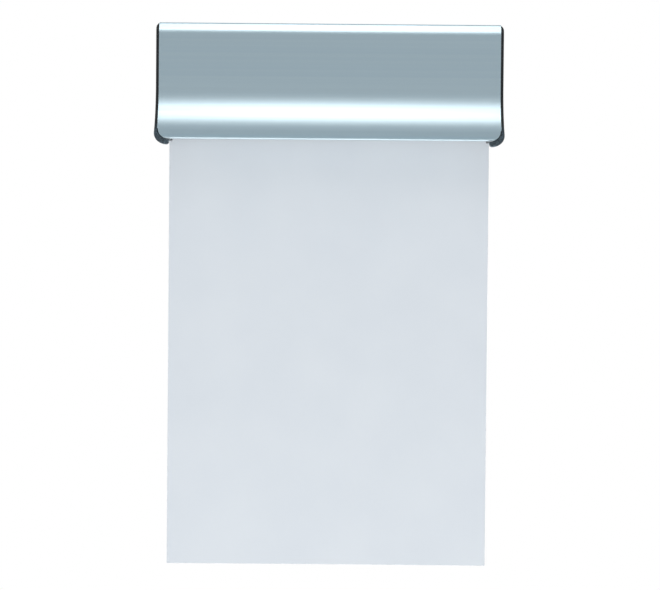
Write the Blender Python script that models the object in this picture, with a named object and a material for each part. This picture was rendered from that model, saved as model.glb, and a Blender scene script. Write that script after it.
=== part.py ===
"""A clip rail for one A6 sheet: an aluminium extrusion with plastic end caps, stuck to a wall.

The sheet is pushed up from below between the back wall and four small rollers.
The rollers lie in a wedge between the back wall and a sloping web, so the sheet's own
weight pulls them down and they grip it.

Units are metres. +Z is up, the front faces -Y and +X is the viewer's right.
The origin is the centre of the adhesive strip's outer face, on the wall.
Section outlines are lists of (depth, height): depth is the distance from the wall,
along -Y, and height is Z.
"""

import math

import bmesh
import bpy
from mathutils import Matrix, Vector

# Overall sizes, across the ends from the sheet
SHEET_WIDTH = 0.1050
SHEET_SIDE_GAP = 0.0003
TONGUE_WIDTH = 0.0023
RAIL_LENGTH = SHEET_WIDTH + 2 * (SHEET_SIDE_GAP + TONGUE_WIDTH)
RAIL_HEIGHT = 0.0382
FACE_DEPTH = 0.0115

# Clearances
SEAT_GAP = 0.0003
OVERRUN = 0.002

# Walls of the extrusion
HOOD_WALL = 0.0014
BACK_WALL = 0.0012
BACK_STAND_OFF = 0.0004
MID_WEB = 0.0012
RAMP_WALL = 0.0011

# Outer form of the extrusion
TOP_RADIUS = 0.0009
TOP_BEVEL_ANGLE = math.radians(24.0)
TOP_BEVEL_HEIGHT = 0.0018
TOP_BEND_RADIUS = 0.0020
BACK_CORNER_RADIUS = 0.0006
FLARE_RADIUS = 0.0220
FLARE_ANGLE = math.radians(50.0)
LIP_RADIUS = 0.0003
LIP_CORNER_RADIUS = 0.0036
BACK_LEAD_IN = 0.0006
CHAMBER_CORNER_RADIUS = 0.0008
CHAMBER_FRONT_RADIUS = 0.0016
CHAMBER_HEIGHT = 0.0196

# Wedge for the rollers
RAMP_ANGLE = math.radians(32.0)
SLOT_WIDTH = 0.0036
ROLLER_DROP = 0.0310

# Rollers
ROLLER_COUNT = 4
ROLLER_RADIUS = 0.0025
ROLLER_END_GAP = 0.0004
CORE_RADIUS = 0.0012
CORE_HEAD_RADIUS = 0.0019
CORE_HEAD_WIDTH = 0.0006
CORE_CHAMFER = 0.0002
SLEEVE_EDGE = 0.0003
GROOVE_COUNT = 2
GROOVE_WIDTH = 0.0010
GROOVE_DEPTH = 0.0003

# Sheet
SHEET_HEIGHT = 0.1480
SHEET_THICKNESS = 0.00025
SHEET_TOP_DROP = 0.0292

# Adhesive strip
TAPE_LENGTH = 0.1040
TAPE_WIDTH = 0.0250
TAPE_THICKNESS = 0.0010
TAPE_CORNER_RADIUS = 0.0015
RECESS_SIDE_GAP = 0.0003

# End caps
CAP_FLANGE = 0.0009
CAP_EDGE_ROUND = 0.00025
CAP_TOP_CORNER_RADIUS = 0.0020
FOOT_WIDTH = 0.00515
FOOT_DROP = 0.0020
FOOT_CORNER_RADIUS = 0.0044
FOOT_EDGE_RADIUS = 0.0008
FOOT_TIP_RADIUS = 0.0003
PLUG_LENGTH = 0.0080
PLUG_WALL = 0.0011
PLUG_CLEARANCE = 0.0006
PLUG_LEAD_IN = 0.0010
PLUG_TAPER = 0.0004
PLUG_APEX_FLAT = 0.0010
RIB_RADIUS = 0.0008
RIB_SHARES = (0.3, 0.7)
TONGUE_HEIGHT = 0.0038
TONGUE_THICKNESS = 0.0016
TONGUE_EDGE = 0.0003

# Fineness of round forms
TOP_STEPS = 10
CORNER_STEPS = 4
FLARE_STEPS = 20
LIP_STEPS = 8
TURN_STEPS = 32
RIB_STEPS = 16
EDGE_STEPS = 2
SMOOTH_ANGLE = math.radians(35.0)
MERGE_DISTANCE = 1e-7

# Places that follow from the sizes above
TOP = RAIL_HEIGHT / 2
BOTTOM = -RAIL_HEIGHT / 2
RAIL_END = RAIL_LENGTH / 2
BACK_INNER = TAPE_THICKNESS + SEAT_GAP + BACK_WALL
HOOD_INNER = FACE_DEPTH - HOOD_WALL
SHEET_BACK = BACK_INNER + SEAT_GAP
SHEET_FRONT = SHEET_BACK + SHEET_THICKNESS
ROLLER_DEPTH = SHEET_FRONT + SEAT_GAP + ROLLER_RADIUS
ROLLER_HEIGHT = TOP - ROLLER_DROP
RAMP_UP = Vector((math.sin(RAMP_ANGLE), math.cos(RAMP_ANGLE)))
RAMP_NORMAL = Vector((-math.cos(RAMP_ANGLE), math.sin(RAMP_ANGLE)))
FLARE_START = BOTTOM + LIP_RADIUS + (FLARE_RADIUS + LIP_RADIUS) * math.sin(FLARE_ANGLE)
FLARE_CENTRE = Vector((FACE_DEPTH + FLARE_RADIUS, FLARE_START))
FLARE_INNER_RADIUS = FLARE_RADIUS + HOOD_WALL
LIP_CENTRE = FLARE_CENTRE - (FLARE_RADIUS + LIP_RADIUS) * Vector(
    (math.cos(FLARE_ANGLE), math.sin(FLARE_ANGLE))
)
CAP_INNER = RAIL_END + SEAT_GAP
CAP_END = CAP_INNER + CAP_FLANGE
FOOT_INNER = CAP_END - FOOT_WIDTH
FOOT_BOTTOM = BOTTOM - FOOT_DROP
FOOT_TOP = BOTTOM + LIP_CORNER_RADIUS
FOOT_ANGLE = math.asin((FLARE_START - FOOT_BOTTOM - FOOT_TIP_RADIUS) / (FLARE_RADIUS + FOOT_TIP_RADIUS))
FOOT_TIP_CENTRE = FLARE_CENTRE - (FLARE_RADIUS + FOOT_TIP_RADIUS) * Vector(
    (math.cos(FOOT_ANGLE), math.sin(FOOT_ANGLE))
)
FRONT = FOOT_TIP_CENTRE.x + FOOT_TIP_RADIUS
CHAMBER_TOP = TOP - HOOD_WALL
CHAMBER_BOTTOM = CHAMBER_TOP - CHAMBER_HEIGHT
CEILING = CHAMBER_BOTTOM - MID_WEB


# Plane geometry


def arc(centre, radius, start, end, steps):
    """Points on an arc from one angle to another, both ends included."""
    return [
        Vector(
            (
                centre[0] + radius * math.cos(start + (end - start) * step / steps),
                centre[1] + radius * math.sin(start + (end - start) * step / steps),
            )
        )
        for step in range(steps + 1)
    ]


def line_meets_circle(point, direction, centre, radius):
    """The nearest point ahead where a line meets a circle that it starts outside of."""
    offset = point - centre
    half = offset.dot(direction)
    reach = -half - math.sqrt(half * half - offset.length_squared + radius * radius)
    return point + direction * reach


def angle_about(centre, point):
    """The angle of a point seen from a centre."""
    return math.atan2(point[1] - centre[1], point[0] - centre[0])


def rounded_box(low, high, radii, steps):
    """A box outline with its own radius at each corner, from the lower back corner and round by the front."""
    corners = [
        (low[0], low[1], 1, 1, math.pi),
        (high[0], low[1], -1, 1, 1.5 * math.pi),
        (high[0], high[1], -1, -1, 0.0),
        (low[0], high[1], 1, -1, 0.5 * math.pi),
    ]
    outline = []
    for (x, y, inward_x, inward_y, start), radius in zip(corners, radii):
        centre = (x + inward_x * radius, y + inward_y * radius)
        outline += arc(centre, radius, start, start + math.pi / 2, steps)
    return outline


# Section of the extrusion


def ramp_points():
    """The roller side and the nose side of the ramp: its tip's centre and where each side meets the hood."""
    touch = Vector((ROLLER_DEPTH, ROLLER_HEIGHT)) - (ROLLER_RADIUS + SEAT_GAP) * RAMP_NORMAL
    middle = touch - RAMP_NORMAL * RAMP_WALL / 2
    tip_depth = BACK_INNER + SLOT_WIDTH + RAMP_WALL / 2
    tip = middle - RAMP_UP * (middle.x - tip_depth) / RAMP_UP.x
    roller_side = tip + RAMP_NORMAL * RAMP_WALL / 2
    nose_side = tip - RAMP_NORMAL * RAMP_WALL / 2
    roller_meet = line_meets_circle(roller_side, RAMP_UP, FLARE_CENTRE, FLARE_INNER_RADIUS)
    nose_meet = line_meets_circle(nose_side, RAMP_UP, FLARE_CENTRE, FLARE_INNER_RADIUS)
    return tip, roller_meet, nose_meet


def hood_front():
    """The visible front of the rail: its top edge, its bevel, its flat face and its flare."""
    normal = Vector((math.cos(TOP_BEVEL_ANGLE), math.sin(TOP_BEVEL_ANGLE)))
    height = (
        TOP_BEND_RADIUS * normal.y + TOP_BEVEL_HEIGHT + TOP_RADIUS * (1.0 - normal.y)
    )
    bend_centre = Vector((FACE_DEPTH - TOP_BEND_RADIUS, TOP - height))
    bevel = Vector((-normal.y, normal.x)) * TOP_BEVEL_HEIGHT / normal.x
    top_centre = bend_centre + (TOP_BEND_RADIUS - TOP_RADIUS) * normal + bevel
    outline = arc(top_centre, TOP_RADIUS, math.pi / 2, TOP_BEVEL_ANGLE, TOP_STEPS)
    outline += arc(bend_centre, TOP_BEND_RADIUS, TOP_BEVEL_ANGLE, 0.0, TOP_STEPS)
    outline += arc(FLARE_CENTRE, FLARE_RADIUS, math.pi, math.pi + FLARE_ANGLE, FLARE_STEPS)
    return outline


def flare_angle_at(height, radius):
    """The angle on a circle about the flare's centre, on its rail side, at a height below the centre."""
    return math.pi + math.asin((FLARE_CENTRE.y - height) / radius)


def back_recess():
    """The back of the rail with the shallow recess for the adhesive strip, from bottom to top."""
    floor = TAPE_THICKNESS + SEAT_GAP
    half = TAPE_WIDTH / 2 + RECESS_SIDE_GAP
    corner = BACK_CORNER_RADIUS
    outline = [Vector((BACK_STAND_OFF, BOTTOM)), Vector((BACK_STAND_OFF, -half))]
    outline += [Vector((floor, -half)), Vector((floor, half)), Vector((BACK_STAND_OFF, half))]
    outline += arc((BACK_STAND_OFF + corner, TOP - corner), corner, math.pi, math.pi / 2, CORNER_STEPS)
    return outline


def rail_outline():
    """The whole outer loop of the section: back, top, front, lip, nose chamber, ramp and roller channel."""
    tip, roller_meet, nose_meet = ramp_points()
    outline = back_recess() + hood_front()
    outline += arc(LIP_CENTRE, LIP_RADIUS, FLARE_ANGLE, -math.pi / 2, LIP_STEPS)[1:]
    lip_inner = flare_angle_at(BOTTOM, FLARE_INNER_RADIUS)
    nose_angle = angle_about(FLARE_CENTRE, nose_meet) + 2 * math.pi
    outline += arc(FLARE_CENTRE, FLARE_INNER_RADIUS, lip_inner, nose_angle, FLARE_STEPS // 2)
    tip_start = angle_about((0.0, 0.0), -RAMP_NORMAL)
    outline += arc(tip, RAMP_WALL / 2, tip_start, tip_start - math.pi, CORNER_STEPS * 2)
    channel_start = angle_about(FLARE_CENTRE, roller_meet) + 2 * math.pi
    channel_end = flare_angle_at(min(CEILING, FLARE_START), FLARE_INNER_RADIUS)
    outline += arc(FLARE_CENTRE, FLARE_INNER_RADIUS, channel_start, channel_end, FLARE_STEPS // 2)[:-1]
    hood_at_ceiling = FLARE_CENTRE.x + FLARE_INNER_RADIUS * math.cos(channel_end)
    outline += [Vector((hood_at_ceiling, CEILING)), Vector((BACK_INNER, CEILING))]
    outline += [Vector((BACK_INNER, BOTTOM + BACK_LEAD_IN)), Vector((BACK_INNER - BACK_LEAD_IN, BOTTOM))]
    return outline


def chamber_outline(inset):
    """The upper chamber's outline, drawn in by an inset, for the hollow itself and for the plug in it."""
    low = (BACK_INNER + inset, CHAMBER_BOTTOM + inset)
    high = (HOOD_INNER - inset, CHAMBER_TOP - inset)
    corner = max(CHAMBER_CORNER_RADIUS - inset, CHAMBER_CORNER_RADIUS / 2)
    front = max(CHAMBER_FRONT_RADIUS - inset, CHAMBER_CORNER_RADIUS / 2)
    return rounded_box(low, high, (corner, corner, front, corner), CORNER_STEPS)


# Solids from outlines


def finish_mesh(name, bm, material, location=(0.0, 0.0, 0.0)):
    """Turn a bmesh into an object with its own material, faces outward."""
    bmesh.ops.recalc_face_normals(bm, faces=bm.faces)
    mesh = bpy.data.meshes.new(name)
    bm.to_mesh(mesh)
    bm.free()
    mesh.materials.append(material)
    mesh.shade_smooth()
    mesh.set_sharp_from_angle(angle=SMOOTH_ANGLE)
    obj = bpy.data.objects.new(name, mesh)
    obj.location = location
    bpy.context.scene.collection.objects.link(obj)
    return obj


def side_section(points, x):
    """Place (depth, height) points in the plane at x."""
    return [Vector((x, -point[0], point[1])) for point in points]


def add_loop(bm, points):
    """Add a closed loop of edges."""
    verts = [bm.verts.new(point) for point in points]
    return [bm.edges.new((vert, verts[(index + 1) % len(verts)])) for index, vert in enumerate(verts)]


def extrude_loops(loops, direction):
    """A bmesh solid: one outline and its holes, filled and extruded."""
    bm = bmesh.new()
    edges = []
    for loop in loops:
        edges += add_loop(bm, loop)
    if len(loops) == 1:
        faces = bmesh.ops.contextual_create(bm, geom=edges)["faces"]
    else:
        filled = bmesh.ops.triangle_fill(bm, edges=edges, use_beauty=True)
        faces = [item for item in filled["geom"] if isinstance(item, bmesh.types.BMFace)]
    grown = bmesh.ops.extrude_face_region(bm, geom=faces)
    moved = [item for item in grown["geom"] if isinstance(item, bmesh.types.BMVert)]
    bmesh.ops.translate(bm, vec=direction, verts=moved)
    bmesh.ops.recalc_face_normals(bm, faces=bm.faces)
    return bm


def turn_profile(profile, closed):
    """A bmesh solid of revolution about X from (along, radius) points."""
    bm = bmesh.new()
    verts = [bm.verts.new((along, 0.0, radius)) for along, radius in profile]
    edges = [bm.edges.new(pair) for pair in zip(verts, verts[1:])]
    if closed:
        edges.append(bm.edges.new((verts[-1], verts[0])))
    bmesh.ops.spin(
        bm,
        geom=verts + edges,
        cent=(0.0, 0.0, 0.0),
        axis=(1.0, 0.0, 0.0),
        angle=2 * math.pi,
        steps=TURN_STEPS,
        use_merge=True,
    )
    bmesh.ops.remove_doubles(bm, verts=bm.verts, dist=MERGE_DISTANCE)
    return bm


def boolean(target, cutter, operation):
    """Join or cut with an exact Boolean and drop the second object."""
    modifier = target.modifiers.new(operation.lower(), "BOOLEAN")
    modifier.operation = operation
    modifier.solver = "EXACT"
    modifier.object = cutter
    bpy.context.view_layer.update()
    graph = bpy.context.evaluated_depsgraph_get()
    mesh = bpy.data.meshes.new_from_object(target.evaluated_get(graph))
    target.modifiers.clear()
    old = target.data
    target.data = mesh
    mesh.name = old.name
    bpy.data.meshes.remove(old)
    bpy.data.objects.remove(cutter)


def make_material(name, color, roughness, metallic):
    """A plain Principled material."""
    material = bpy.data.materials.new(name)
    material.use_nodes = True
    shader = material.node_tree.nodes["Principled BSDF"]
    shader.inputs["Base Color"].default_value = (*color, 1.0)
    shader.inputs["Roughness"].default_value = roughness
    shader.inputs["Metallic"].default_value = metallic
    return material


# Sub-parts


def front_cutter(points, depth, material):
    """A cutter from a depth to well in front of the part, from (x, height) points."""
    loop = [Vector((point[0], -depth, point[1])) for point in points]
    bm = extrude_loops([loop], Vector((0.0, depth - FRONT - OVERRUN, 0.0)))
    return finish_mesh("front_cutter", bm, material)


def corner_points(corner, radius, across, up):
    """What rounding takes off an outer corner, seen from the front; across and up are 1 or -1."""
    x, z = corner
    centre = (x - across * radius, z - up * radius)
    start = 0.0 if across > 0 else math.pi
    points = arc(centre, radius, start, start + across * up * math.pi / 2, TOP_STEPS)
    points.append(Vector((centre[0], z + up * OVERRUN)))
    points.append(Vector((x + across * OVERRUN, z + up * OVERRUN)))
    points.append(Vector((x + across * OVERRUN, centre[1])))
    return points


def build_rail(material):
    """The extrusion: one section with the upper chamber as a hole, run along X, its lip's corners rounded."""
    loops = [side_section(rail_outline(), -RAIL_END), side_section(chamber_outline(0.0), -RAIL_END)]
    bm = extrude_loops(loops, Vector((RAIL_LENGTH, 0.0, 0.0)))
    rail = finish_mesh("rail_profile", bm, material)
    for across in (1, -1):
        points = corner_points((across * RAIL_END, BOTTOM), LIP_CORNER_RADIUS, across, -1)
        boolean(rail, front_cutter(points, HOOD_INNER, material), "DIFFERENCE")
    rail.data.shade_smooth()
    rail.data.set_sharp_from_angle(angle=SMOOTH_ANGLE)


def build_adhesive_strip(material):
    """Foam tape with rounded corners that fills the recess and stands proud of the back."""
    low = (-TAPE_LENGTH / 2, -TAPE_WIDTH / 2)
    high = (TAPE_LENGTH / 2, TAPE_WIDTH / 2)
    outline = rounded_box(low, high, [TAPE_CORNER_RADIUS] * 4, CORNER_STEPS)
    loop = [Vector((point.x, 0.0, point.y)) for point in outline]
    bm = extrude_loops([loop], Vector((0.0, -TAPE_THICKNESS, 0.0)))
    return finish_mesh("adhesive_strip", bm, material)


def build_sheet(material):
    """The sheet, with its origin at the middle of its top edge."""
    half = SHEET_WIDTH / 2
    loop = [
        Vector((-half, -SHEET_THICKNESS / 2, -SHEET_HEIGHT)),
        Vector((half, -SHEET_THICKNESS / 2, -SHEET_HEIGHT)),
        Vector((half, -SHEET_THICKNESS / 2, 0.0)),
        Vector((-half, -SHEET_THICKNESS / 2, 0.0)),
    ]
    bm = extrude_loops([loop], Vector((0.0, SHEET_THICKNESS, 0.0)))
    middle = SHEET_BACK + SHEET_THICKNESS / 2
    return finish_mesh("sheet", bm, material, (0.0, -middle, TOP - SHEET_TOP_DROP))


def core_profile(half):
    """Half section of a roller core: a shank with a chamfered head at each end."""
    side = [
        (half, 0.0),
        (half, CORE_HEAD_RADIUS - CORE_CHAMFER),
        (half - CORE_CHAMFER, CORE_HEAD_RADIUS),
        (half - CORE_HEAD_WIDTH, CORE_HEAD_RADIUS),
        (half - CORE_HEAD_WIDTH, CORE_RADIUS),
    ]
    return side + [(-along, radius) for along, radius in reversed(side)]


def sleeve_profile(half):
    """Half section of a sleeve: bore, rounded ends and grip grooves round the outside."""
    bore = CORE_RADIUS + SEAT_GAP
    profile = [(-half, bore), (-half, ROLLER_RADIUS - SLEEVE_EDGE), (-half + SLEEVE_EDGE, ROLLER_RADIUS)]
    pitch = 2 * half / (GROOVE_COUNT + 1)
    for groove in range(GROOVE_COUNT):
        middle = -half + pitch * (groove + 1)
        for side in (-1, 1):
            wall = [(middle + side * GROOVE_WIDTH / 2, ROLLER_RADIUS)]
            wall.append((middle + side * (GROOVE_WIDTH / 2 - GROOVE_DEPTH), ROLLER_RADIUS - GROOVE_DEPTH))
            profile += wall if side < 0 else wall[::-1]
    profile += [(half - SLEEVE_EDGE, ROLLER_RADIUS), (half, ROLLER_RADIUS - SLEEVE_EDGE), (half, bore)]
    return profile


def build_rollers(core_material, sleeve_material):
    """The rollers, side by side in the wedge. Each sleeve's origin is on its core's axis."""
    pitch = RAIL_LENGTH / ROLLER_COUNT
    core_half = (pitch - ROLLER_END_GAP) / 2
    sleeve_half = core_half - CORE_HEAD_WIDTH - SEAT_GAP
    for index in range(ROLLER_COUNT):
        place = ((index + 0.5) * pitch - RAIL_END, -ROLLER_DEPTH, ROLLER_HEIGHT)
        core = turn_profile(core_profile(core_half), closed=False)
        core_object = finish_mesh(f"roller_core_{index + 1}", core, core_material, place)
        sleeve = turn_profile(sleeve_profile(sleeve_half), closed=True)
        sleeve_object = finish_mesh(f"roller_sleeve_{index + 1}", sleeve, sleeve_material)
        sleeve_object.parent = core_object


# End caps, modelled at the right end


def foot_tip(start):
    """The foot's front from an angle on the flare, round its tip and back up its underside."""
    outline = arc(FLARE_CENTRE, FLARE_RADIUS, start, math.pi + FOOT_ANGLE, FLARE_STEPS // 2)
    outline += arc(FOOT_TIP_CENTRE, FOOT_TIP_RADIUS, FOOT_ANGLE, -math.pi / 2, LIP_STEPS)[1:]
    inner = flare_angle_at(FOOT_BOTTOM, FLARE_INNER_RADIUS)
    heel = FLARE_CENTRE.x + FLARE_INNER_RADIUS * math.cos(inner)
    return outline + [Vector((heel, FOOT_BOTTOM)), Vector((heel - FOOT_DROP, BOTTOM))]


def flange_outline():
    """The flange's edge: the rail's own back, top and front, the foot, and the underside."""
    corner = BACK_CORNER_RADIUS
    outline = arc((BACK_STAND_OFF + corner, TOP - corner), corner, math.pi, math.pi / 2, CORNER_STEPS)
    outline += hood_front() + foot_tip(math.pi + FLARE_ANGLE)[1:]
    outline.append(Vector((BACK_STAND_OFF, BOTTOM)))
    return outline


def foot_outline():
    """The foot's section, from its front back into the nose plug."""
    radius = FLARE_INNER_RADIUS + 2 * SEAT_GAP
    outline = foot_tip(flare_angle_at(FOOT_TOP, FLARE_RADIUS))
    low, high = flare_angle_at(BOTTOM, radius), flare_angle_at(FOOT_TOP, radius)
    return outline + arc(FLARE_CENTRE, radius, low, high, CORNER_STEPS)


def foot(root, material):
    """The foot: it carries the flare on past the lip and fills the lip's rounded corner."""
    body = solid("foot", foot_outline(), FOOT_INNER, root, material)
    centre = (RAIL_END - LIP_CORNER_RADIUS, BOTTOM + LIP_CORNER_RADIUS)
    room = arc(centre, LIP_CORNER_RADIUS + SEAT_GAP, -math.pi / 2, 0.0, TOP_STEPS)
    room += [Vector((CAP_INNER, TOP)), Vector((FOOT_INNER - OVERRUN, TOP))]
    room.append(Vector((FOOT_INNER - OVERRUN, BOTTOM - SEAT_GAP)))
    boolean(body, front_cutter(room, -OVERRUN, material), "DIFFERENCE")
    edge = corner_points((FOOT_INNER, FOOT_BOTTOM), FOOT_EDGE_RADIUS, -1, -1)
    boolean(body, front_cutter(edge, -OVERRUN, material), "DIFFERENCE")
    return body


def nose_plug_outline():
    """The plug in the nose chamber, a seat gap off the ramp and the flare."""
    tip, _, _ = ramp_points()
    radius = FLARE_INNER_RADIUS + SEAT_GAP
    ramp_face = tip - RAMP_NORMAL * (RAMP_WALL / 2 + SEAT_GAP)
    apex = line_meets_circle(ramp_face, RAMP_UP, FLARE_CENTRE, radius)
    start = angle_about(FLARE_CENTRE, apex) + 2 * math.pi
    blunt = PLUG_APEX_FLAT / radius
    outline = [ramp_face, apex - RAMP_UP * PLUG_APEX_FLAT]
    outline += arc(FLARE_CENTRE, radius, start + blunt, flare_angle_at(BOTTOM, radius), FLARE_STEPS // 4)
    outline.append(Vector((ramp_face.x, BOTTOM)))
    return outline


def solid(name, outline, start, end, material):
    """A solid along X from a section outline."""
    bm = extrude_loops([side_section(outline, start)], Vector((end - start, 0.0, 0.0)))
    return finish_mesh(name, bm, material)


def flange(start, end, material):
    """The flange over the cut end, its outer edge rounded."""
    bm = extrude_loops([side_section(flange_outline(), start)], Vector((end - start, 0.0, 0.0)))
    middle = (start + end) / 2
    rim = [edge for edge in bm.edges if all(vert.co.x > middle for vert in edge.verts)]
    bmesh.ops.bevel(
        bm,
        geom=rim,
        offset=CAP_EDGE_ROUND,
        segments=EDGE_STEPS,
        profile=0.5,
        affect="EDGES",
        material=-1,
    )
    return finish_mesh("end_cap_right", bm, material)


def plug_block(tip, root, material):
    """The plug's body in the upper chamber, with a tapered lead-in at its tip."""
    outline = side_section(chamber_outline(PLUG_CLEARANCE), root)
    bm = extrude_loops([outline], Vector((tip + PLUG_LEAD_IN - root, 0.0, 0.0)))
    end_face = min(bm.faces, key=lambda face: face.calc_center_median().x)
    grown = bmesh.ops.extrude_face_region(bm, geom=[end_face])
    moved = [item for item in grown["geom"] if isinstance(item, bmesh.types.BMVert)]
    bmesh.ops.delete(bm, geom=[end_face], context="FACES_ONLY")
    bmesh.ops.translate(bm, vec=(-PLUG_LEAD_IN, 0.0, 0.0), verts=moved)
    middle = Vector((0.0, -(BACK_INNER + HOOD_INNER) / 2, (CHAMBER_TOP + CHAMBER_BOTTOM) / 2))
    shrink = 1.0 - 2 * PLUG_TAPER / (HOOD_INNER - BACK_INNER)
    bmesh.ops.scale(bm, vec=(1.0, shrink, shrink), verts=moved, space=Matrix.Translation(-middle))
    return finish_mesh("plug", bm, material)


def plug_ribs():
    """The section centres of the crush ribs, which stand a seat gap off the chamber's broad sides."""
    reach = SEAT_GAP + RIB_RADIUS
    heights = [CHAMBER_BOTTOM + share * CHAMBER_HEIGHT for share in RIB_SHARES]
    return [(depth, height) for depth in (BACK_INNER + reach, HOOD_INNER - reach) for height in heights]


def plug_shell(root, material):
    """The tapered, hollow plug in the upper chamber, with its crush ribs."""
    tip = CAP_INNER - PLUG_LENGTH
    shell = plug_block(tip, root, material)
    for centre in plug_ribs():
        outline = arc(centre, RIB_RADIUS, 0.0, 2 * math.pi, RIB_STEPS)[:-1]
        boolean(shell, solid("rib", outline, tip + PLUG_LEAD_IN, root, material), "UNION")
    hollow = chamber_outline(PLUG_CLEARANCE + PLUG_WALL)
    boolean(shell, solid("hollow", hollow, tip - OVERRUN, CAP_INNER, material), "DIFFERENCE")
    return shell


def tongue_outline():
    """The tongue beside the sheet's edge, between the back wall and the ramp's tip."""
    low = (SHEET_BACK, BOTTOM)
    high = (SHEET_BACK + TONGUE_THICKNESS, BOTTOM + TONGUE_HEIGHT)
    return rounded_box(low, high, [TONGUE_EDGE] * 4, 1)


def build_end_caps(material):
    """The right cap from its flange, plugs, tongue and foot, and the left cap as its mirror image."""
    root = CAP_INNER + CAP_FLANGE / 2
    cap = flange(CAP_INNER, CAP_END, material)
    for piece in (
        plug_shell(root, material),
        solid("nose_plug", nose_plug_outline(), FOOT_INNER, root, material),
        solid("tongue", tongue_outline(), RAIL_END - TONGUE_WIDTH, root, material),
        foot(root, material),
    ):
        boolean(cap, piece, "UNION")
    for height, radius, up in ((TOP, CAP_TOP_CORNER_RADIUS, 1), (FOOT_BOTTOM, FOOT_CORNER_RADIUS, -1)):
        points = corner_points((CAP_END, height), radius, 1, up)
        boolean(cap, front_cutter(points, -OVERRUN, material), "DIFFERENCE")
    cap.data.shade_smooth()
    cap.data.set_sharp_from_angle(angle=SMOOTH_ANGLE)
    mirrored = cap.data.copy()
    mirrored.transform(Matrix.Scale(-1.0, 4, Vector((1.0, 0.0, 0.0))))
    mirrored.flip_normals()
    left = bpy.data.objects.new("end_cap_left", mirrored)
    bpy.context.scene.collection.objects.link(left)


def build():
    """Clear the scene and build every sub-part."""
    for obj in list(bpy.data.objects):
        bpy.data.objects.remove(obj)
    aluminium = make_material("satin_anodised_aluminium", (0.62, 0.67, 0.70), 0.32, 1.0)
    plastic = make_material("dark_moulded_plastic", (0.045, 0.048, 0.052), 0.45, 0.0)
    steel = make_material("bright_steel", (0.60, 0.61, 0.62), 0.25, 1.0)
    rubber = make_material("grey_rubber", (0.09, 0.09, 0.095), 0.75, 0.0)
    foam = make_material("white_foam_tape", (0.80, 0.80, 0.78), 0.85, 0.0)
    card = make_material("pale_card", (0.66, 0.70, 0.75), 0.60, 0.0)
    build_rail(aluminium)
    build_end_caps(plastic)
    build_rollers(steel, rubber)
    build_adhesive_strip(foam)
    build_sheet(card)


build()
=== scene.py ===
"""The looks of a wall-mounted clip rail that grips one hanging sheet.

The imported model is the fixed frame. This script gives each visible surface its finish,
puts finer pieces over the forms that catch the light, and sets up a plain studio.
Lengths are in metres: +Z is up, the front faces -Y and +X is the viewer's right.
"""

import logging
import math
from abc import ABC, abstractmethod
from collections.abc import Iterable
from dataclasses import dataclass
from enum import Enum

import bmesh
import bpy
from mathutils import Matrix, Vector


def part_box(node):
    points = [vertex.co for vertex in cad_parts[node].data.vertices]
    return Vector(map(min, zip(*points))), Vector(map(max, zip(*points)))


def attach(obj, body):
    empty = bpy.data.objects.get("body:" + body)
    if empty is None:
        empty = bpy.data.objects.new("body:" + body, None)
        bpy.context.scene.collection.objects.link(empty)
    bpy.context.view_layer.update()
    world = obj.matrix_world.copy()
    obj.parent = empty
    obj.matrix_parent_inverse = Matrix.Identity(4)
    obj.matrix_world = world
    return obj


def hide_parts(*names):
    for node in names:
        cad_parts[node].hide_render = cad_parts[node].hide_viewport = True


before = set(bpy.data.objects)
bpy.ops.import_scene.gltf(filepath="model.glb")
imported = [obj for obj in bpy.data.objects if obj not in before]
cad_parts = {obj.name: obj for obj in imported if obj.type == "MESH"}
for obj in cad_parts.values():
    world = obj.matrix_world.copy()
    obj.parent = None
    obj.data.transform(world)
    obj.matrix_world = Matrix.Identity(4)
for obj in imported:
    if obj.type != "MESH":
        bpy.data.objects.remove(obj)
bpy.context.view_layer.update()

LOG = logging.getLogger("clip_rail")
# The width of the photograph in pixels.
IMAGE_WIDTH = 660

# Points closer than WELD are one, and facets that meet below FLAT are one face.
WELD = 0.000001
FLAT = math.radians(0.3)
# Edges above SHARP are rounded, and those above SMOOTH still shade as edges.
SHARP = math.radians(38.0)
SMOOTH = math.radians(50.0)

Colour = tuple[float, float, float]
Point = tuple[float, float, float]
Pair = tuple[float, float]
Range = tuple[float, float]
Socket = bpy.types.NodeSocket
Outputs = bpy.types.NodeOutputs
Node = bpy.types.Node
Tree = bpy.types.NodeTree
Material = bpy.types.Material
Shape = bmesh.types.BMesh

WHITE: Colour = (1.0, 1.0, 1.0)
# The range of a mask, and the range that holds nearly all values of a noise.
WHOLE: Range = (0.0, 1.0)
USUAL: Range = (0.3, 0.7)


class Slot(Enum):
    """The names of the record's material slots, which each finer piece carries."""

    ALUMINIUM = "satin_aluminium"
    TAPE = "foam_tape"
    CARD = "sheet_card"


@dataclass(frozen=True)
class Grain:
    """The fine texture of a surface.

    Attributes:
        fine: features of the grain per metre.
        slow: features per metre of the unevenness under it.
        strength: how much of the relief shows.
        depth: the real depth of the relief.
    """

    fine: float
    slow: float
    strength: float
    depth: float


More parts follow.
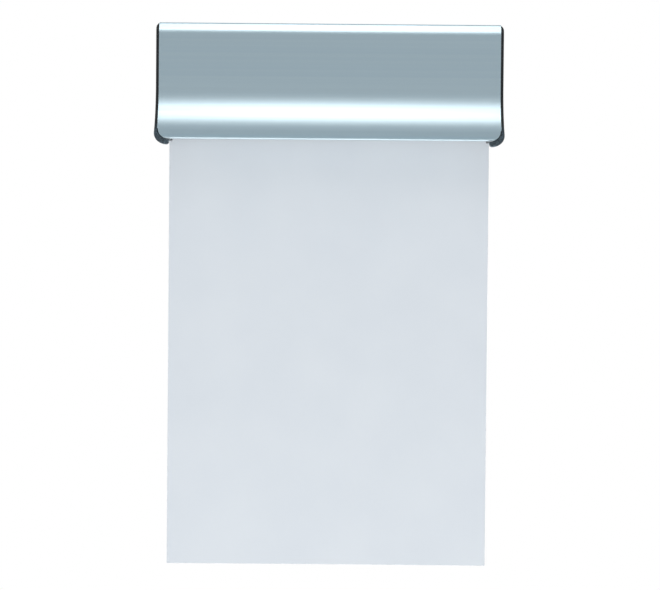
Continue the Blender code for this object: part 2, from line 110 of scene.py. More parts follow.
class NodeSheet:
    """A short way to add, feed and link the shader nodes of one tree."""

    def __init__(self, tree: Tree) -> None:
        """Keep the tree to work on."""
        self.tree = tree

    def add(self, kind: str, **settings: object) -> Node:
        """Add a node and set its properties.

        Args:
            kind: the node's type name without its ShaderNode prefix.
            settings: a value for each property to set.

        Returns:
            The new node.
        """
        node = self.tree.nodes.new(f"ShaderNode{kind}")
        for name, value in settings.items():
            setattr(node, name, value)
        return node

    def put(self, target: Socket, value: Socket | Colour | float) -> None:
        """Feed one input.

        Args:
            target: the input.
            value: a socket to link, or a colour or a number to set.
        """
        if isinstance(value, Socket):
            self.tree.links.new(value, target)
        elif isinstance(value, tuple):
            target.default_value = (*value, 1.0)
        else:
            target.default_value = value

    def feed(self, node: Node, **values: Socket | Colour | float) -> Node:
        """Feed a node's inputs by name.

        Args:
            node: the node.
            values: a value for each input, with underscores for the spaces in its name.

        Returns:
            The same node.
        """
        for name, value in values.items():
            self.put(node.inputs[name.replace("_", " ")], value)
        return node

    def fill(self, node: Node, *values: Socket | float) -> Node:
        """Feed a node's first inputs in their order.

        Args:
            node: the node.
            values: a value for each input.

        Returns:
            The same node.
        """
        for target, value in zip(node.inputs, values):
            self.put(target, value)
        return node

    def calculate(self, operation: str, *values: Socket | float, clamp: bool = False) -> Socket:
        """Return what an operation makes of its values, kept between 0 and 1 if it is clamped."""
        node = self.add("Math", operation=operation, use_clamp=clamp)
        return self.fill(node, *values).outputs["Value"]

    def noise(self, place: Socket, scale: Socket | float, detail: float, roughness: float = 0.5) -> Socket:
        """Return a noise with scale features per metre and detail octaves of finer noise on top."""
        node = self.feed(self.add("TexNoise"), Vector=place, Scale=scale, Detail=detail, Roughness=roughness)
        return node.outputs["Fac"]

    def remap(self, value: Socket, result: Range = WHOLE, usual: Range = USUAL) -> Socket:
        """Spread a value's usual range over a new one.

        Args:
            value: the value to spread.
            result: what the ends of the usual range become.
            usual: the range that the value has.

        Returns:
            The spread value, which stops at the ends.
        """
        node = self.add("MapRange")
        self.feed(node, From_Min=usual[0], From_Max=usual[1], To_Min=result[0], To_Max=result[1], Value=value)
        return node.outputs["Result"]

    def blend(self, factor: Socket, first: Socket | Colour, second: Socket | Colour) -> Socket:
        """Mix two colours.

        Args:
            factor: how much of the second colour there is.
            first: the colour at 0.
            second: the colour at 1.

        Returns:
            The mixed colour.
        """
        node = self.add("Mix", data_type="RGBA")
        sockets = {socket.identifier: socket for socket in (*node.inputs, *node.outputs)}
        self.put(sockets["Factor_Float"], factor)
        self.put(sockets["A_Color"], first)
        self.put(sockets["B_Color"], second)
        return sockets["Result_Color"]

    def bump(self, height: Socket, grain: Grain) -> Socket:
        """Return a normal that is bent by a height of about 0 to 1."""
        node = self.feed(self.add("Bump"), Height=height, Strength=grain.strength, Distance=grain.depth)
        return node.outputs["Normal"]

    def rays(self) -> tuple[Socket, Socket]:
        """Tell apart the rays that look at something.

        Returns:
            Whether a ray comes from the camera, and whether it comes off a mirror or through glass.
        """
        path = self.add("LightPath").outputs
        mirrored = self.calculate("MAXIMUM", path["Is Glossy Ray"], path["Is Transmission Ray"])
        return path["Is Camera Ray"], mirrored


class MaterialSheet(NodeSheet):
    """The node sheet of a new material, with its Principled shader."""

    def __init__(self, name: str) -> None:
        """Make the material.

        Args:
            name: the material's name.
        """
        self.material = bpy.data.materials.new(name)
        self.material.use_nodes = True
        super().__init__(self.material.node_tree)
        self.shader = self.tree.nodes["Principled BSDF"]

    def place(self) -> Socket:
        """Return the place on the object, in metres."""
        return self.add("TexCoord").outputs["Object"]

    def use(self, effect: Tree, **values: Socket | float) -> Outputs:
        """Place a shared effect, feed its inputs and return its outputs."""
        return self.feed(self.add("Group", node_tree=effect), **values).outputs


class EffectSheet(NodeSheet):
    """The node sheet of a new effect: given holds its inputs, and end takes its outputs."""

    def __init__(self, name: str, inputs: dict[str, float], outputs: tuple[str, ...]) -> None:
        """Make the node group with its sockets.

        Args:
            name: the group's name.
            inputs: the numbers that it takes beside a place on the object, with their defaults.
            outputs: the values that it gives.
        """
        super().__init__(bpy.data.node_groups.new(name, "ShaderNodeTree"))
        sockets = self.tree.interface
        sockets.new_socket(name="Vector", in_out="INPUT", socket_type="NodeSocketVector")
        for label, default in inputs.items():
            socket = sockets.new_socket(name=label, in_out="INPUT", socket_type="NodeSocketFloat")
            socket.default_value = default
        for label in outputs:
            sockets.new_socket(name=label, in_out="OUTPUT", socket_type="NodeSocketFloat")
        self.given = self.tree.nodes.new("NodeGroupInput").outputs
        self.end = self.tree.nodes.new("NodeGroupOutput")


@dataclass
class Effects:
    """The effects that several finishes share, each built once.

    Attributes:
        streak_scale: how fine the streaks are beside the lines.
        grain_roughness: how much the finer octaves of the grain count.
        edge_samples: how many rays feel for an edge.
        edge_cosines: cosines between the rounded and the true normal where the rub is full and where it ends.
        edge_noise: values of the noise where the rub starts and where it is full.
    """

    streak_scale: float = 0.13
    grain_roughness: float = 0.6
    edge_samples: int = 4
    edge_cosines: Range = (0.90, 0.995)
    edge_noise: Range = (0.38, 0.62)

    def __post_init__(self) -> None:
        """Build every shared effect."""
        self.drawn_lines = self._drawn_lines()
        self.fine_grain = self._fine_grain()
        self.edge_rub = self._edge_rub()

    def _drawn_lines(self) -> Tree:
        """Make the fine lines along X that an extrusion die leaves, or a lathe's rings round X.

        Returns:
            The group, which gives the height of the lines and broader streaks that run with them.
        """
        sheet = EffectSheet("drawn_lines", {"Along": 8.0, "Across": 9000.0}, ("Height", "Streak"))
        scale = sheet.add("CombineXYZ")
        sheet.feed(scale, X=sheet.given["Along"], Y=sheet.given["Across"], Z=sheet.given["Across"])
        stretch = sheet.add("VectorMath", operation="MULTIPLY")
        sheet.fill(stretch, sheet.given["Vector"], scale.outputs["Vector"])
        place = stretch.outputs["Vector"]
        lines = sheet.noise(place, scale=1.0, detail=2.0)
        streaks = sheet.noise(place, scale=self.streak_scale, detail=1.0)
        sheet.feed(sheet.end, Height=lines, Streak=streaks)
        return sheet.tree

    def _fine_grain(self) -> Tree:
        """Make an even fine grain.

        Returns:
            The group, which gives the grain's height and a slow unevenness under it.
        """
        sheet = EffectSheet("fine_grain", {"Scale": 4000.0, "Slow Scale": 90.0}, ("Height", "Patch"))
        place = sheet.given["Vector"]
        fine = sheet.noise(place, sheet.given["Scale"], detail=3.0, roughness=self.grain_roughness)
        slow = sheet.noise(place, sheet.given["Slow Scale"], detail=2.0)
        sheet.feed(sheet.end, Height=fine, Patch=slow)
        return sheet.tree

    def _edge_rub(self) -> Tree:
        """Make the mask of rubbed edges.

        Returns:
            The group, whose mask is 1 on sharp edges, fades into the surface and is broken up by noise.
        """
        sheet = EffectSheet("edge_rub", {"Radius": 0.0003, "Break Up": 900.0}, ("Mask",))
        rounded = sheet.feed(sheet.add("Bevel", samples=self.edge_samples), Radius=sheet.given["Radius"])
        plain = sheet.add("NewGeometry")
        facing = sheet.add("VectorMath", operation="DOT_PRODUCT")
        sheet.fill(facing, rounded.outputs["Normal"], plain.outputs["Normal"])
        edge = sheet.remap(facing.outputs["Value"], (1.0, 0.0), self.edge_cosines)
        noise = sheet.noise(sheet.given["Vector"], sheet.given["Break Up"], detail=3.0)
        broken = sheet.remap(noise, WHOLE, self.edge_noise)
        sheet.feed(sheet.end, Mask=sheet.calculate("MULTIPLY", edge, broken, clamp=True))
        return sheet.tree


@dataclass(frozen=True)
class Finish(ABC):
    """A finish that is made with the shared effects."""

    effects: Effects
    grain: Grain

    @abstractmethod
    def material(self) -> Material:
        """Mix the finish.

        Returns:
            Its material.
        """

    def grained(self, sheet: MaterialSheet, place: Socket) -> Outputs:
        """Return the height and the slow unevenness of this finish's grain."""
        effect = self.effects.fine_grain
        return sheet.use(effect, Vector=place, Scale=self.grain.fine, Slow_Scale=self.grain.slow)


@dataclass(frozen=True)
class SatinAnodised(Finish):
    """Silver anodised aluminium with the faint lines of the extrusion die.

    Attributes:
        pale: the colour of the streaks.
        along: features of the lines per metre of their length.
        across: features of the lines per metre across them.
        lines_share: how deep the lines are beside the grain.
        rub_radius: how far a rubbed edge reaches into the faces.
        break_up: features per metre of the noise that breaks up the rub.
        rub_roughness: what the rub adds to the roughness.
    """

    grain: Grain = Grain(fine=9000.0, slow=60.0, strength=0.12, depth=0.00002)
    colour: Colour = (0.58, 0.70, 0.755)
    pale: Colour = (0.61, 0.725, 0.77)
    roughness: Range = (0.29, 0.34)
    along: float = 6.0
    across: float = 7000.0
    lines_share: float = 0.7
    rub_radius: float = 0.0002
    break_up: float = 700.0
    rub_roughness: float = -0.06

    def material(self) -> Material:
        """Mix the finish.

        Returns:
            Its material.
        """
        sheet = MaterialSheet("satin_anodised_aluminium")
        place = sheet.place()
        lines = sheet.use(self.effects.drawn_lines, Vector=place, Along=self.along, Across=self.across)
        grain = self.grained(sheet, place)
        rub = sheet.use(self.effects.edge_rub, Vector=place, Radius=self.rub_radius, Break_Up=self.break_up)
        drawn = sheet.remap(lines["Height"], self.roughness)
        polished = sheet.remap(rub["Mask"], (0.0, self.rub_roughness), WHOLE)
        relief = sheet.calculate("MULTIPLY_ADD", lines["Height"], self.lines_share, grain["Height"])
        sheet.feed(
            sheet.shader,
            Base_Color=sheet.blend(sheet.remap(lines["Streak"]), self.colour, self.pale),
            Metallic=1.0,
            Roughness=sheet.calculate("ADD", drawn, polished),
            Normal=sheet.bump(relief, self.grain),
        )
        return sheet.material


@dataclass(frozen=True)
class MouldedPlastic(Finish):
    """Near-black moulded plastic with rubbed edges, and painted light in a paler colour on the front of the
    feet, broken up by speckles.

    Attributes:
        foot_light_down: heights where the painted light on the feet starts and where it is full.
        foot_light_forward: places along Y where the painted light on the feet starts and where it is full.
        speckle: how much the painted light on the feet shows between the speckles and in them.
        speckle_noise: values of the noise between the speckles and in them.
        speckle_scale: speckles per metre.
        rub_radius: how far a rubbed edge reaches into the faces.
        break_up: features per metre of the noise that breaks up the rub.
    """

    grain: Grain = Grain(fine=6500.0, slow=150.0, strength=0.5, depth=0.00003)
    colour: Colour = (0.007, 0.0078, 0.009)
    rubbed: Colour = (0.020, 0.023, 0.027)
    painted_foot_light: Colour = (0.105, 0.15, 0.18)
    foot_light_down: Range = (-0.0125, -0.0175)
    foot_light_forward: Range = (-0.0125, -0.0165)
    speckle: Range = (0.25, 1.0)
    speckle_noise: Range = (0.38, 0.60)
    speckle_scale: float = 1900.0
    rub_radius: float = 0.0002
    break_up: float = 1200.0
    roughness: Range = (0.38, 0.48)
    specular: float = 0.3

    def material(self) -> Material:
        """Mix the finish.

        Returns:
            Its material.
        """
        sheet = MaterialSheet("dark_moulded_plastic")
        place = sheet.place()
        grain = self.grained(sheet, place)
        rub = sheet.use(self.effects.edge_rub, Vector=place, Radius=self.rub_radius, Break_Up=self.break_up)
        edged = sheet.blend(rub["Mask"], self.colour, self.rubbed)
        sheet.feed(
            sheet.shader,
            # the front of the feet gets a paler colour: painted light, broken up by speckles
            Base_Color=sheet.blend(self._painted_foot_light_mask(sheet, place), edged, self.painted_foot_light),
            Roughness=sheet.remap(grain["Patch"], self.roughness),
            Specular_IOR_Level=self.specular,
            Normal=sheet.bump(grain["Height"], self.grain),
        )
        return sheet.material

    def _painted_foot_light_mask(self, sheet: MaterialSheet, place: Socket) -> Socket:
        """Make the mask of the painted light on the front of the feet, which comes in downwards and forwards.

        Args:
            sheet: the material's node sheet.
            place: the place on the object.

        Returns:
            The mask.
        """
        axes = sheet.fill(sheet.add("SeparateXYZ"), place).outputs
        low_down = sheet.remap(axes["Z"], WHOLE, self.foot_light_down)
        in_front = sheet.remap(axes["Y"], WHOLE, self.foot_light_forward)
        noise = sheet.noise(place, self.speckle_scale, detail=4.0)
        speckle = sheet.remap(noise, self.speckle, self.speckle_noise)
        on_foot = sheet.calculate("MULTIPLY", low_down, in_front)
        return sheet.calculate("MULTIPLY", on_foot, speckle, clamp=True)


@dataclass(frozen=True)
class TurnedSteel(Finish):
    """Bright steel with the rings that a lathe tool leaves round the axis, and a faint stain.

    Attributes:
        stain_share: the least and the most of the stain.
        stain_noise: values of the noise where there is the least and the most of it.
        along: rings per metre of the axis.
        across: features of each ring per metre across the axis.
    """

    grain: Grain = Grain(fine=5000.0, slow=350.0, strength=0.35, depth=0.00001)
    colour: Colour = (0.56, 0.57, 0.59)
    stain: Colour = (0.42, 0.41, 0.40)
    stain_share: Range = (0.0, 0.8)
    stain_noise: Range = (0.5, 0.75)
    along: float = 22000.0
    across: float = 40.0
    roughness: Range = (0.2, 0.34)

    def material(self) -> Material:
        """Mix the finish.

        Returns:
            Its material.
        """
        sheet = MaterialSheet("turned_steel")
        place = sheet.place()
        rings = sheet.use(self.effects.drawn_lines, Vector=place, Along=self.along, Across=self.across)
        grain = self.grained(sheet, place)
        stained = sheet.remap(grain["Patch"], self.stain_share, self.stain_noise)
        sheet.feed(
            sheet.shader,
            Base_Color=sheet.blend(stained, self.colour, self.stain),
            Metallic=1.0,
            Roughness=sheet.remap(rings["Height"], self.roughness),
            Normal=sheet.bump(rings["Height"], self.grain),
        )
        return sheet.material


@dataclass(frozen=True)
class GripRubber(Finish):
    """Matt grey rubber with ground grain and a little pale dust.

    Attributes:
        dust_share: the least and the most of the dust.
        dust_noise: values of the noise where there is the least and the most of it.
    """

    grain: Grain = Grain(fine=5200.0, slow=420.0, strength=0.6, depth=0.00004)
    colour: Colour = (0.055, 0.056, 0.06)
    dust: Colour = (0.16, 0.16, 0.165)
    dust_share: Range = (0.0, 0.7)
    dust_noise: Range = (0.45, 0.75)
    roughness: Range = (0.7, 0.85)

    def material(self) -> Material:
        """Mix the finish.

        Returns:
            Its material.
        """
        sheet = MaterialSheet("grip_rubber")
        grain = self.grained(sheet, sheet.place())
        dusty = sheet.remap(grain["Patch"], self.dust_share, self.dust_noise)
        sheet.feed(
            sheet.shader,
            Base_Color=sheet.blend(dusty, self.colour, self.dust),
            Roughness=sheet.remap(grain["Height"], self.roughness),
            Normal=sheet.bump(grain["Height"], self.grain),
        )
        return sheet.material


@dataclass(frozen=True)
class FoamTape(Finish):
    """White acrylic foam with open pores and a slightly glossy tacky face.

    Attributes:
        shade: the colour of the painted shade in the pores.
        pore_scale: pores per metre.
        pore_distances: how far from its middle a pore starts to fade and where it ends, in widths of a pore.
    """

    grain: Grain = Grain(fine=2600.0, slow=80.0, strength=0.5, depth=0.00006)
    colour: Colour = (0.76, 0.755, 0.725)
    shade: Colour = (0.60, 0.59, 0.56)
    pore_scale: float = 3200.0
    pore_distances: Range = (0.08, 0.45)
    roughness: Range = (0.5, 0.75)

    def material(self) -> Material:
        """Mix the finish.

        Returns:
            Its material.
        """
        sheet = MaterialSheet("foam_tape")
        place = sheet.place()
        cells = sheet.feed(sheet.add("TexVoronoi"), Vector=place, Scale=self.pore_scale)
        pores = sheet.remap(cells.outputs["Distance"], WHOLE, self.pore_distances)
        grain = self.grained(sheet, place)
        sheet.feed(
            sheet.shader,
            # the pores are darkened with painted shade
            Base_Color=sheet.blend(pores, self.shade, self.colour),
            Roughness=sheet.remap(grain["Patch"], self.roughness),
            Normal=sheet.bump(pores, self.grain),
        )
        return sheet.material


@dataclass(frozen=True)
class PaleCard(Finish):
    """Smooth pale card: soft fibres, faint cloudiness and a matt face.

    Attributes:
        cloud: the colour of the cloudy patches.
        fibre: the colour of the fibres.
        fibre_share: the least and the most of the fibres' colour.
        fibre_noise: values of the noise where there is the least and the most of it.
    """

    grain: Grain = Grain(fine=3600.0, slow=45.0, strength=0.25, depth=0.00002)
    colour: Colour = (0.585, 0.616, 0.652)
    cloud: Colour = (0.605, 0.634, 0.666)
    fibre: Colour = (0.555, 0.588, 0.628)
    fibre_share: Range = (0.0, 0.5)
    fibre_noise: Range = (0.55, 0.8)
    roughness: Range = (0.55, 0.65)
    specular: float = 0.3

    def material(self) -> Material:
        """Mix the finish.

        Returns:
            Its material.
        """
        sheet = MaterialSheet("pale_card")
        grain = self.grained(sheet, sheet.place())
        clouded = sheet.blend(sheet.remap(grain["Patch"]), self.colour, self.cloud)
        fibres = sheet.remap(grain["Height"], self.fibre_share, self.fibre_noise)
        sheet.feed(
            sheet.shader,
            Base_Color=sheet.blend(fibres, clouded, self.fibre),
            Roughness=sheet.remap(grain["Height"], self.roughness),
            Specular_IOR_Level=self.specular,
            Normal=sheet.bump(grain["Height"], self.grain),
        )
        return sheet.material


@dataclass(frozen=True)
class WhiteBackground:
    """A surface that is plain white to look at, also in mirrors, and scatters light as a matt one."""

    colour: Colour = (0.82, 0.83, 0.84)
    roughness: float = 0.9

    def material(self) -> Material:
        """Mix the matt surface with plain white.

        Returns:
            Its material.
        """
        sheet = MaterialSheet("plain_white")
        sheet.feed(sheet.shader, Base_Color=self.colour, Roughness=self.roughness)
        looked_at = sheet.calculate("MAXIMUM", *sheet.rays())
        white = sheet.add("Emission")
        mix = sheet.add("MixShader")
        sheet.fill(mix, looked_at, sheet.shader.outputs["BSDF"], white.outputs["Emission"])
        sheet.feed(sheet.tree.nodes["Material Output"], Surface=mix.outputs["Shader"])
        return sheet.material


def dress(nodes: Iterable[str], finish: Finish) -> None:
    """Give CAD nodes one finish and leave their shapes as they are.

    Args:
        nodes: the CAD nodes' names.
        finish: the finish that they share.
    """
    material = finish.material()
    for node in nodes:
        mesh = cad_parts[node].data
        mesh.materials.clear()
        mesh.materials.append(material)
        LOG.info("%s keeps its CAD shape in %s", node, material.name)


def soften(bm: Shape, width: float, facets: int) -> None:
    """Round the outward edges of a closed mesh that are still sharp.

    Args:
        bm: the mesh to round.
        width: how far the rounding reaches into each face.
        facets: how many facets make it round.
    """
    sharp = [edge for edge in bm.edges if edge.is_convex and edge.calc_face_angle(0.0) > SHARP]
    bmesh.ops.bevel(
        bm, geom=sharp, offset=width, offset_type="OFFSET", segments=facets, profile=0.5,
        affect="EDGES", clamp_overlap=True, material=-1,
    )


@dataclass(frozen=True)
class StandIn:
    """A finer piece that stands for one CAD node."""

    name: str
    node: str
    body: str
    slot: Slot

    def cad_shape(self) -> Shape:
        """Copy the shape of the CAD node.

        Returns:
            One closed mesh, with its flat facets joined.
        """
        bm = bmesh.new()
        bm.from_mesh(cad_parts[self.node].data)
        bmesh.ops.remove_doubles(bm, verts=bm.verts, dist=WELD)
        bmesh.ops.recalc_face_normals(bm, faces=bm.faces)
        bmesh.ops.dissolve_limit(bm, angle_limit=FLAT, verts=bm.verts, edges=bm.edges)
        return bm

    def make(self, bm: Shape, finish: Finish) -> None:
        """Make the piece and put it in the CAD node's place.

        Args:
            bm: its shape, which is used up.
            finish: its finish.
        """
        mesh = bpy.data.meshes.new(self.name)
        bm.to_mesh(mesh)
        bm.free()
        mesh.materials.append(finish.material())
        mesh.shade_smooth()
        mesh.set_sharp_from_angle(angle=SMOOTH)
        piece = bpy.data.objects.new(self.name, mesh)
        bpy.context.scene.collection.objects.link(piece)
        weights = piece.modifiers.new("flat_faces_lead", "WEIGHTED_NORMAL")
        weights.keep_sharp = True
        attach(piece, self.body)
        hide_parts(self.node)
        LOG.info("%s stands for %s on %s", self.name, self.node, self.body)


@dataclass
class RailBody:
    """The extrusion with its adhesive strip.

    Attributes:
        rail: the piece that stands for the extrusion.
        strip: the piece that stands for the adhesive strip.
        top: how high the rail's top edge is.
        face_depth: how far the flat face stands out from the wall.
        top_radius: the radius of the top edge.
        bevel_angle: how far the bevel along the top leans back.
        bevel_height: how high the flat of the bevel is.
        bend_radius: the radius of the bend between the bevel and the face.
        bend_easing: how many times wider the bend becomes.
        deburr: how far the rounding of the edges reaches.
        end_seat: how far each cut end moves out to meet its cap.
        strip_round: how far the rounding of the strip's cut edges reaches.
    """

    effects: Effects
    rail: StandIn = StandIn("satin_rail", "rail_profile", "rail", Slot.ALUMINIUM)
    strip: StandIn = StandIn("foam_strip", "adhesive_strip", "rail", Slot.TAPE)
    top: float = 0.0191
    face_depth: float = 0.0115
    top_radius: float = 0.0009
    bevel_angle: float = math.radians(24.0)
    bevel_height: float = 0.0018
    bend_radius: float = 0.0020
    bend_easing: float = 2.8
    deburr: float = 0.00012
    deburr_facets: int = 2
    end_seat: float = 0.00025
    strip_round: float = 0.00022
    strip_facets: int = 3

    def build(self) -> None:
        """Make the extrusion and the strip."""
        self._extrusion()
        self._strip()

    def _extrusion(self) -> None:
        """Make the extrusion with deburred edges, its cut ends seated against the caps."""
        bm = self.rail.cad_shape()
        self._ease_bend(bm)
        end = max(vert.co.x for vert in bm.verts)
        for vert in bm.verts:
            if abs(vert.co.x) > end - WELD:
                vert.co.x += math.copysign(self.end_seat, vert.co.x)
        soften(bm, self.deburr, self.deburr_facets)
        self.rail.make(bm, SatinAnodised(self.effects))

    def _ease_bend(self, bm: Shape) -> None:
        """Widen the bend between the top bevel and the face, so that its highlight fades softly.

        Args:
            bm: the extrusion's shape.
        """
        lean = math.sin(self.bevel_angle)
        low = self.top - self.bend_radius * lean - self.bevel_height - self.top_radius * (1.0 - lean)
        high = low + self.bend_radius * lean
        back = self.bend_radius * (1.0 - math.cos(self.bevel_angle)) - self.face_depth
        corner = Vector((0.0, -self.face_depth, low + self.bend_radius * math.tan(self.bevel_angle / 2)))
        bend = [vert for vert in bm.verts if vert.co.y < back + WELD and low - WELD < vert.co.z < high + WELD]
        bmesh.ops.scale(
            bm, verts=bend, vec=(1.0, self.bend_easing, self.bend_easing), space=Matrix.Translation(-corner)
        )

    def _strip(self) -> None:
        """Make the foam strip with soft cut edges."""
        bm = self.strip.cad_shape()
        soften(bm, self.strip_round, self.strip_facets)
        self.strip.make(bm, FoamTape(self.effects))


@dataclass
class EndCaps:
    """The two moulded end caps."""

    effects: Effects
    nodes: tuple[str, str] = ("end_cap_left", "end_cap_right")

    def build(self) -> None:
        """Dress both caps."""
        dress(self.nodes, MouldedPlastic(self.effects))


@dataclass
class GripRollers:
    """The rollers that hold the sheet, each a sleeve on a core."""

    effects: Effects
    count: int = 4

    def build(self) -> None:
        """Dress the cores and the sleeves."""
        numbers = range(1, self.count + 1)
        dress((f"roller_core_{number}" for number in numbers), TurnedSteel(self.effects))
        dress((f"roller_sleeve_{number}" for number in numbers), GripRubber(self.effects))


@dataclass
class HangingSheet:
    """The card that the rail grips: flat in the rail, with a slight forward curl below it.

    Attributes:
        card: the piece that stands for the sheet.
        columns: cells of the grid across the card.
        rows: cells of the grid down the card.
        flat_part: how far down from its top edge the card is flat.
        curl: how far the lower corners lie forward.
        corner_share: how much of the curl only the corners have.
        cut_edge: how far the rounding of the cut edges reaches.
    """

    effects: Effects
    card: StandIn = StandIn("hanging_card", "sheet", "sheet", Slot.CARD)
    columns: int = 42
    rows: int = 60
    flat_part: float = 0.030
    curl: float = 0.0005
    corner_share: float = 0.55
    cut_edge: float = 0.00004
    cut_facets: int = 2

    def build(self) -> None:
        """Make the card from a fine grid, curl it and give it its thickness."""
        low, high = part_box(self.card.node)
        width, thickness, height = high - low
        upright = Matrix.Rotation(math.pi / 2, 3, "X")
        middle = ((low.x + high.x) / 2, low.y, (low.z + high.z) / 2)
        bm = bmesh.new()
        # The grid starts one metre wide and high, so that the scale gives its size.
        bmesh.ops.create_grid(bm, x_segments=self.columns, y_segments=self.rows, size=0.5)
        bmesh.ops.rotate(bm, verts=bm.verts, cent=(0.0, 0.0, 0.0), matrix=upright)
        bmesh.ops.scale(bm, verts=bm.verts, vec=(width, 1.0, height))
        bmesh.ops.translate(bm, verts=bm.verts, vec=middle)
        for vert in bm.verts:
            drop = max(0.0, (high.z - vert.co.z - self.flat_part) / (height - self.flat_part))
            side = (2.0 * vert.co.x / width) ** 2
            vert.co.y -= self.curl * drop**2 * (1.0 - self.corner_share + self.corner_share * side)
        bmesh.ops.solidify(bm, geom=bm.faces, thickness=thickness)
        bmesh.ops.recalc_face_normals(bm, faces=bm.faces)
        soften(bm, self.cut_edge, self.cut_facets)
        self.card.make(bm, PaleCard(self.effects))


@dataclass(frozen=True)
class Softbox:
    """One large rectangular lamp aimed at the rail.

    Attributes:
        name: the lamp's name.
        direction: where it stands, as degrees round to the right from the front and degrees up.
        distance: how far it is from the point that it lights.
        size: its width and its height.
        radiance: how bright its face is.
        in_reflections: whether metal mirrors it.
        aim: the point that it lights.
    """

    name: str
    direction: Pair
    distance: float
    size: Pair
    radiance: float
    in_reflections: bool = True
    aim: Point = (0.0, -0.015, 0.0)

    def build(self) -> None:
        """Place the lamp and set its power from its radiance and area."""
        light = bpy.data.lights.new(self.name, "AREA")
        light.shape = "RECTANGLE"
        light.size, light.size_y = self.size
        light.energy = self.radiance * math.pi * math.prod(self.size)
        lamp = bpy.data.objects.new(self.name, light)
        turn, rise = (math.radians(angle) for angle in self.direction)
        away = Vector((math.sin(turn) * math.cos(rise), -math.cos(turn) * math.cos(rise), math.sin(rise)))
        lamp.location = Vector(self.aim) + away * self.distance
        lamp.rotation_euler = away.to_track_quat("Z", "Y").to_euler()
        lamp.visible_camera = False
        lamp.visible_glossy = self.in_reflections
        bpy.context.scene.collection.objects.link(lamp)


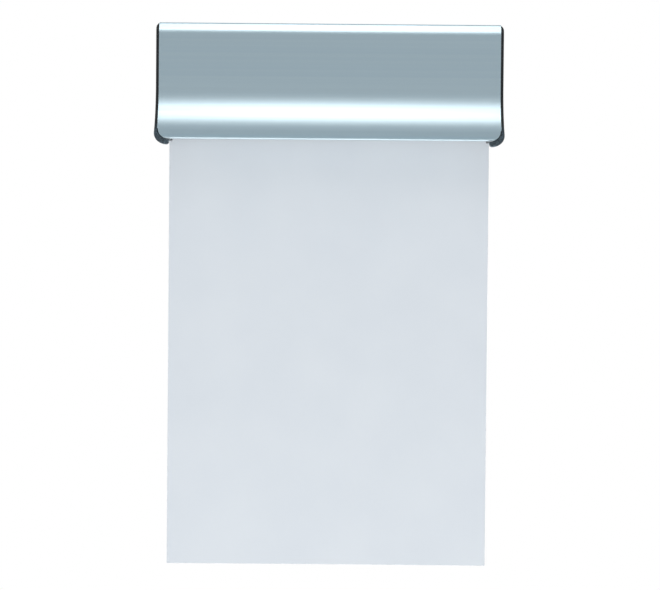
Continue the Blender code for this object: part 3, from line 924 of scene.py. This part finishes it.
@dataclass
class Studio:
    """The camera, the room's light, the white surroundings and the lamps.

    Attributes:
        target: the point that the camera looks at.
        distance: how far the camera is from it.
        elevation: how far above it the camera stands, in degrees.
        roll: how far the camera is turned about its line of sight, in degrees.
        focal_pixels: the focal length in pixels of the photograph.
        clip: the nearest and the farthest that the camera sees.
        world_colour: the soft light of the room.
        white_behind: how far back, along Y, a mirrored ray has to point to meet white.
        light_from_below: what the soft light gains from straight below and loses from straight above.
        floor_height: how high the floor is.
        backdrop_place: how far behind the wall's plane the backdrop is.
        surroundings_size: the width of the floor and of the backdrop.
        lamps: the lamps.
    """

    target: Point = (0.00069, -0.006, -0.06906)
    distance: float = 0.600
    elevation: float = 1.395
    roll: float = 0.50
    focal_pixels: float = 1831.0
    clip: Range = (0.01, 50.0)
    world_colour: Colour = (0.43, 0.47, 0.50)
    white_behind: float = 0.32
    light_from_below: float = 0.9
    floor_height: float = -1.2
    backdrop_place: float = 1.2
    surroundings_size: float = 8.0
    lamps: tuple[Softbox, ...] = (
        Softbox("key_softbox", direction=(0.0, 48.0), distance=1.1, size=(0.52, 0.60), radiance=2.1),
        Softbox("left_softbox", direction=(-62.0, -14.0), distance=1.2, size=(0.7, 0.9), radiance=1.3),
        Softbox("right_softbox", direction=(62.0, -14.0), distance=1.2, size=(0.7, 0.9), radiance=1.3),
        Softbox("low_softbox", direction=(0.0, -45.0), distance=1.1, size=(1.5, 1.0), radiance=1.4),
        Softbox(
            "low_fill", direction=(0.0, -45.0), distance=1.15, size=(1.5, 1.0), radiance=1.6,
            in_reflections=False,
        ),
    )

    def build(self) -> None:
        """Set up everything that isn't the object."""
        self._camera()
        self._world()
        self._surroundings()
        for lamp in self.lamps:
            lamp.build()
        bpy.context.scene.view_settings.view_transform = "Standard"

    def _camera(self) -> None:
        """Place the camera at the photograph's viewing angle."""
        data = bpy.data.cameras.new("camera")
        data.lens = data.sensor_width * self.focal_pixels / IMAGE_WIDTH
        data.clip_start, data.clip_end = self.clip
        camera = bpy.data.objects.new("camera", data)
        rise, turn = math.radians(self.elevation), math.radians(self.roll)
        away = Vector((0.0, -math.cos(rise), math.sin(rise)))
        right = Vector((1.0, 0.0, 0.0))
        up = away.cross(right)
        across = right * math.cos(turn) + up * math.sin(turn)
        above = up * math.cos(turn) - right * math.sin(turn)
        place = Vector(self.target) + away * self.distance
        camera.matrix_world = Matrix.Translation(place) @ Matrix((across, above, away)).transposed().to_4x4()
        bpy.context.scene.collection.objects.link(camera)
        bpy.context.scene.camera = camera

    def _world(self) -> None:
        """Make the light of the room.

        It is white to the camera, and to a mirrored ray that leaves towards the backdrop. To every
        other ray it is a slightly cool grey, and as soft light it is stronger from below.
        """
        world = bpy.data.worlds.new("studio_room")
        world.use_nodes = True
        sheet = NodeSheet(world.node_tree)
        camera, mirrored = sheet.rays()
        direction = sheet.add("TexCoord").outputs["Generated"]
        axes = sheet.fill(sheet.add("SeparateXYZ"), direction).outputs
        behind = sheet.calculate("GREATER_THAN", axes["Y"], self.white_behind)
        white = sheet.calculate("MAXIMUM", camera, sheet.calculate("MULTIPLY", mirrored, behind))
        soft = sheet.calculate("SUBTRACT", 1.0, sheet.calculate("MAXIMUM", camera, mirrored))
        soft_from_above = sheet.calculate("MULTIPLY", soft, axes["Z"])
        sheet.feed(
            sheet.tree.nodes["Background"],
            Color=sheet.blend(white, self.world_colour, WHITE),
            Strength=sheet.calculate("MULTIPLY_ADD", soft_from_above, -self.light_from_below, 1.0),
        )
        bpy.context.scene.world = world

    def _surroundings(self) -> None:
        """Add the pale floor and the backdrop behind the object."""
        white = WhiteBackground().material()
        self._plane("floor", Vector((0.0, 0.0, self.floor_height)), Vector((0.0, 0.0, 1.0)), white)
        self._plane("backdrop", Vector((0.0, self.backdrop_place, 0.0)), Vector((0.0, -1.0, 0.0)), white)

    def _plane(self, name: str, middle: Vector, normal: Vector, material: Material) -> None:
        """Add one large square that is no part of the object.

        Args:
            name: its name.
            middle: where its middle is.
            normal: where it faces.
            material: its material.
        """
        place = Matrix.Translation(middle) @ normal.to_track_quat("Z", "Y").to_matrix().to_4x4()
        bm = bmesh.new()
        bmesh.ops.create_grid(bm, x_segments=1, y_segments=1, size=self.surroundings_size / 2, matrix=place)
        mesh = bpy.data.meshes.new(name)
        bm.to_mesh(mesh)
        bm.free()
        mesh.materials.append(material)
        plane = bpy.data.objects.new(name, mesh)
        bpy.context.scene.collection.objects.link(plane)


def main() -> None:
    """Build the studio and the object's sub-assemblies in order."""
    logging.basicConfig(level=logging.INFO, format="%(name)s: %(message)s")
    effects = Effects()
    Studio().build()
    for part in (RailBody, EndCaps, GripRollers, HangingSheet):
        part(effects).build()


if __name__ == "__main__":
    main()
